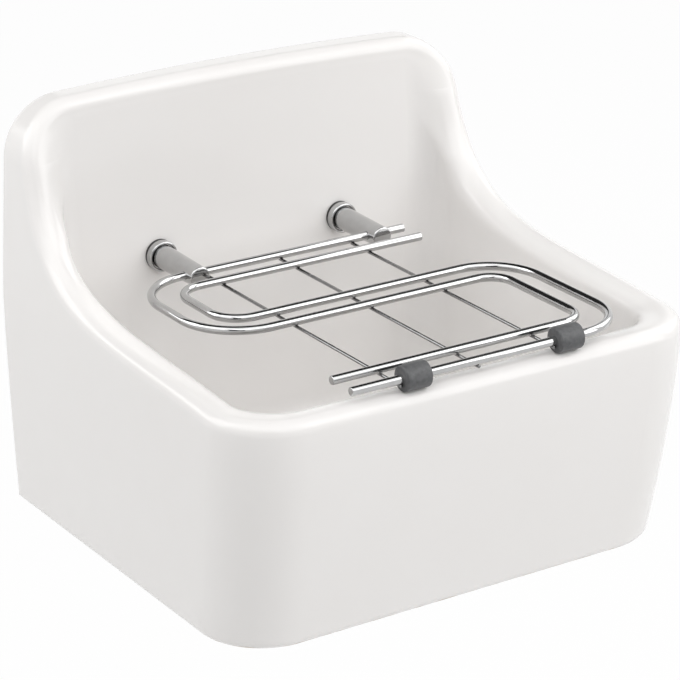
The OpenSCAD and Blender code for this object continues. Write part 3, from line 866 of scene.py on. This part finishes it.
def make_post(side, sign):
    """A turned barrel on its spigot, tapped from the back and bored across for the hinge rod."""
    x, shoulder, tip = sign * POST_X, -(ROSE_Y - ROSE_T + ROSE_RECESS), HINGE_OUT + POST_NOSE
    profile = [(-SPIGOT_BACK, SPIGOT_D / 2 - SPIGOT_BREAK), (-SPIGOT_BACK + SPIGOT_BREAK, SPIGOT_D / 2),
               (shoulder, SPIGOT_D / 2), (shoulder + 0.001, POST_D / 2 - SHOULDER_BREAK),
               (shoulder + SHOULDER_BREAK, POST_D / 2)]
    for a in QUARTER_ROUND:
        radius = POST_TIP_D / 2 - TIP_ROUND * (1 - math.cos(a))
        profile.append((tip - TIP_ROUND * (1 - math.sin(a)), radius))
    obj = turned("post_barrel_" + side, (x, 0, 0), (0, -1, 0), profile)
    stud_mid = SPIGOT_BACK - STUD_DEPTH / 2
    cut(obj, drill(x, stud_mid + 1, 0, STUD_D / 2, STUD_DEPTH + 2, ALONG_Y, BORE_SIDES))
    cut(obj, drill(x, -HINGE_OUT, 0, ROD_D / 2 + BORE_PLAY, 3 * POST_D, ALONG_X, BORE_SIDES))
    smooth(obj, 30)
    return wears(obj, CHROME, "root", "chrome", "post_" + side)


def make_rose(side, sign):
    """A cover ring with a rounded lip round the recess that the post sits in."""
    bore, lip = SPIGOT_D / 2 + BORE_PLAY, POST_D / 2 + ROSE_GAP
    nose = (ROSE_D / 2 - lip) / 2
    profile = [(0.0, bore + CUT_EDGE), (0.0, ROSE_D / 2 - ROSE_BREAK), (ROSE_BREAK, ROSE_D / 2)]
    for a in HALF_ROUND:
        profile.append((ROSE_T - nose * (1 - math.sin(a)), lip + nose * (1 + math.cos(a))))
    floor = ROSE_T - ROSE_RECESS
    profile += [(floor, lip), (floor, bore + CUT_EDGE)]
    obj = turned("cover_ring_" + side, (sign * POST_X, ROSE_Y, 0), (0, -1, 0), profile)
    cut(obj, drill(sign * POST_X, ROSE_Y - ROSE_T / 2, 0, bore, ROSE_T + 4, ALONG_Y, BORE_SIDES))
    smooth(obj, 35)
    return wears(obj, CHROME, "root", "chrome", "rose_" + side)


for side, sign in (("left", -1), ("right", 1)):
    make_post(side, sign)
    make_rose(side, sign)
    smooth_copy("rose_gasket_" + side, SEAL_RUBBER, "root", "seal_rubber", forward=GASKET_FORWARD)
    smooth_copy("fixing_sleeve_" + side, NYLON, "root", "nylon")


# ---------------------------------------------------------------- waste
for node in ("waste_body", "waste_strainer", "strainer_screw"):
    smooth_copy(node, CHROME, "root", "chrome")
for node in ("waste_seal_upper", "waste_seal_lower"):
    smooth_copy(node, SEAL_RUBBER, "root", "seal_rubber")
smooth_copy("waste_slip_washer", NYLON, "root", "nylon")
smooth_copy("waste_backnut", BRASS, "root", "nut_brass")


# ---------------------------------------------------------------- studio
FLOOR_Z, FLOOR_WHITE = -0.75, 0.97
# Soft light in the room: the side it comes from, how narrow it is, and its strength
ROOM_LIGHT = (((-1, 0, 0.2), 2.0, 0.32), ((0, -1, 0.2), 2.0, 0.53), ((0, 0, 1), 1.5, 0.25))
SOFTBOXES = (
    ("softbox_back_left", (-1.8, 1.1, 1.5), (2.2, 1.8), 29),
    ("softbox_front_top", (0, -2, 2), (2.8, 2.0), 25.5),
    ("softbox_right", (2.2, -0.2, 1.4), (1.8, 1.8), 20),
    ("softbox_key", (1.25, -1.65, 1.6), (1.2, 1.0), 7),
    ("softbox_front_right", (1.8, -2.2, 0.7), (1.4, 1.2), 11.5),
    ("softbox_top_left", (-1.5, -0.5, 1.8), (1.8, 1.8), 13),
)
DARK_CARDS = (
    ("dark_card_front", (-1.9, -3.1, 1.2), (1.6, 1.6)),
    ("dark_card_back", (0.2, 1.5, 1.5), (3.4, 1.4)),
    ("dark_card_top", (0.3, 0.5, 2.2), (3.4, 1.3)),
)
LAMP_TARGET, CARD_TARGET = (0, -0.2, -0.05), (0, -0.25, 0)


def seen_directly(tree):
    """One for rays from the camera and for those that a mirror or glass sends on."""
    rays = tree.nodes.new("ShaderNodeLightPath")
    mirror = math_node(tree, "MAXIMUM", rays.outputs["Is Glossy Ray"], rays.outputs["Is Transmission Ray"])
    return math_node(tree, "MAXIMUM", rays.outputs["Is Camera Ray"], mirror)


def mix_shaders(tree, factor, a, b, out):
    """Shader a where the factor is 0, and b where it is 1, goes to the output."""
    both = tree.nodes.new("ShaderNodeMixShader")
    tree.links.new(factor, both.inputs[0])
    tree.links.new(a, both.inputs[1])
    tree.links.new(b, both.inputs[2])
    tree.links.new(both.outputs[0], out.inputs["Surface"])


def make_floor():
    """A white floor: it looks plain white, and keeps a trace of the object's shadow."""
    nothing_selected()
    bpy.ops.mesh.primitive_circle_add(vertices=96, radius=14, fill_type="NGON", location=(0, 0, FLOOR_Z))
    floor = bpy.context.object
    floor.name = "studio_floor"
    m = bpy.data.materials.new("white_floor")
    m.use_nodes = True
    tree = m.node_tree
    tree.nodes.clear()
    out = tree.nodes.new("ShaderNodeOutputMaterial")
    paint = tree.nodes.new("ShaderNodeBsdfDiffuse")
    paint.inputs["Color"].default_value = (0.9, 0.9, 0.9, 1)
    glow = tree.nodes.new("ShaderNodeEmission")
    glow.inputs["Color"].default_value = (1, 1, 1, 1)
    level = math_node(tree, "MULTIPLY", seen_directly(tree), FLOOR_WHITE)
    mix_shaders(tree, level, paint.outputs[0], glow.outputs[0], out)
    floor.data.materials.append(m)
    return floor


def light_from(tree, direction, side, narrow, strength):
    """Light that is strongest from one side of the room and fades round it."""
    facing = tree.nodes.new("ShaderNodeVectorMath")
    facing.operation = "DOT_PRODUCT"
    facing.inputs[1].default_value = Vector(side).normalized()
    tree.links.new(direction, facing.inputs[0])
    level = math_node(tree, "MAXIMUM", facing.outputs["Value"], 0.0)
    return math_node(tree, "MULTIPLY", math_node(tree, "POWER", level, narrow), strength)


def make_world():
    """A white background, and soft light from the left, the front and above."""
    world = bpy.data.worlds.new("studio_world")
    bpy.context.scene.world = world
    world.use_nodes = True
    tree = world.node_tree
    tree.nodes.clear()
    out = tree.nodes.new("ShaderNodeOutputWorld")
    white = tree.nodes.new("ShaderNodeBackground")
    white.inputs["Color"].default_value = (1, 1, 1, 1)
    white.inputs["Strength"].default_value = 1.0
    room = tree.nodes.new("ShaderNodeBackground")
    room.inputs["Color"].default_value = (1, 1, 1, 1)
    direction = tree.nodes.new("ShaderNodeTexCoord").outputs["Generated"]
    total = 0.0
    for side, narrow, strength in ROOM_LIGHT:
        total = math_node(tree, "ADD", light_from(tree, direction, side, narrow, strength), total)
    tree.links.new(total, room.inputs["Strength"])
    mix_shaders(tree, seen_directly(tree), room.outputs[0], white.outputs[0], out)


def aimed(obj, place, target):
    """Turns the object, which looks along its -Z, from its place to the target."""
    obj.rotation_euler = (Vector(target) - Vector(place)).to_track_quat("-Z", "Y").to_euler()


def softbox(name, place, size, power):
    """An area lamp of that size in metres, and of that power in watts."""
    nothing_selected()
    bpy.ops.object.light_add(type="AREA", location=place)
    lamp = bpy.context.object
    lamp.name = name
    lamp.data.shape = "RECTANGLE"
    lamp.data.size, lamp.data.size_y = size
    lamp.data.energy = power
    aimed(lamp, place, LAMP_TARGET)
    return lamp


def dark_card(name, place, size):
    """A black card that only mirrors see, as a photographer hangs up to draw lines in chrome."""
    nothing_selected()
    bpy.ops.mesh.primitive_plane_add(size=1, location=place)
    card = bpy.context.object
    card.name = name
    card.scale = (size[0], size[1], 1)
    aimed(card, place, CARD_TARGET)
    m = bpy.data.materials.new(name)
    m.use_nodes = True
    shader = m.node_tree.nodes["Principled BSDF"]
    shader.inputs["Base Color"].default_value = (0.02, 0.02, 0.02, 1)
    shader.inputs["Roughness"].default_value = 1.0
    card.data.materials.append(m)
    card.visible_camera = False
    card.visible_diffuse = False
    card.visible_shadow = False
    return card


make_floor()
make_world()
for name, place, size, power in SOFTBOXES:
    softbox(name, place, size, power)
for name, place, size in DARK_CARDS:
    dark_card(name, place, size)


# ---------------------------------------------------------------- camera
# Fitted to the object's corners in the photo; the height is above the basin's underside
CAMERA_X, CAMERA_Y, CAMERA_HEIGHT = -1.34198, -2.25402, 1.14587
AZIMUTH, ELEVATION = math.radians(-33.12), math.radians(21.61)
SENSOR_W, FOCAL_LENGTH = 36.0, 155.12

camera_data = bpy.data.cameras.new("camera")
camera = bpy.data.objects.new("camera", camera_data)
bpy.context.scene.collection.objects.link(camera)
camera.location = (CAMERA_X, CAMERA_Y, CAMERA_HEIGHT - HINGE_H * MM)
camera.rotation_euler = (math.pi / 2 - ELEVATION, 0, AZIMUTH)
camera_data.sensor_width = SENSOR_W
camera_data.lens = FOCAL_LENGTH
camera_data.clip_start, camera_data.clip_end = 0.05, 60.0
bpy.context.scene.camera = camera
bpy.context.scene.view_settings.view_transform = "Standard"
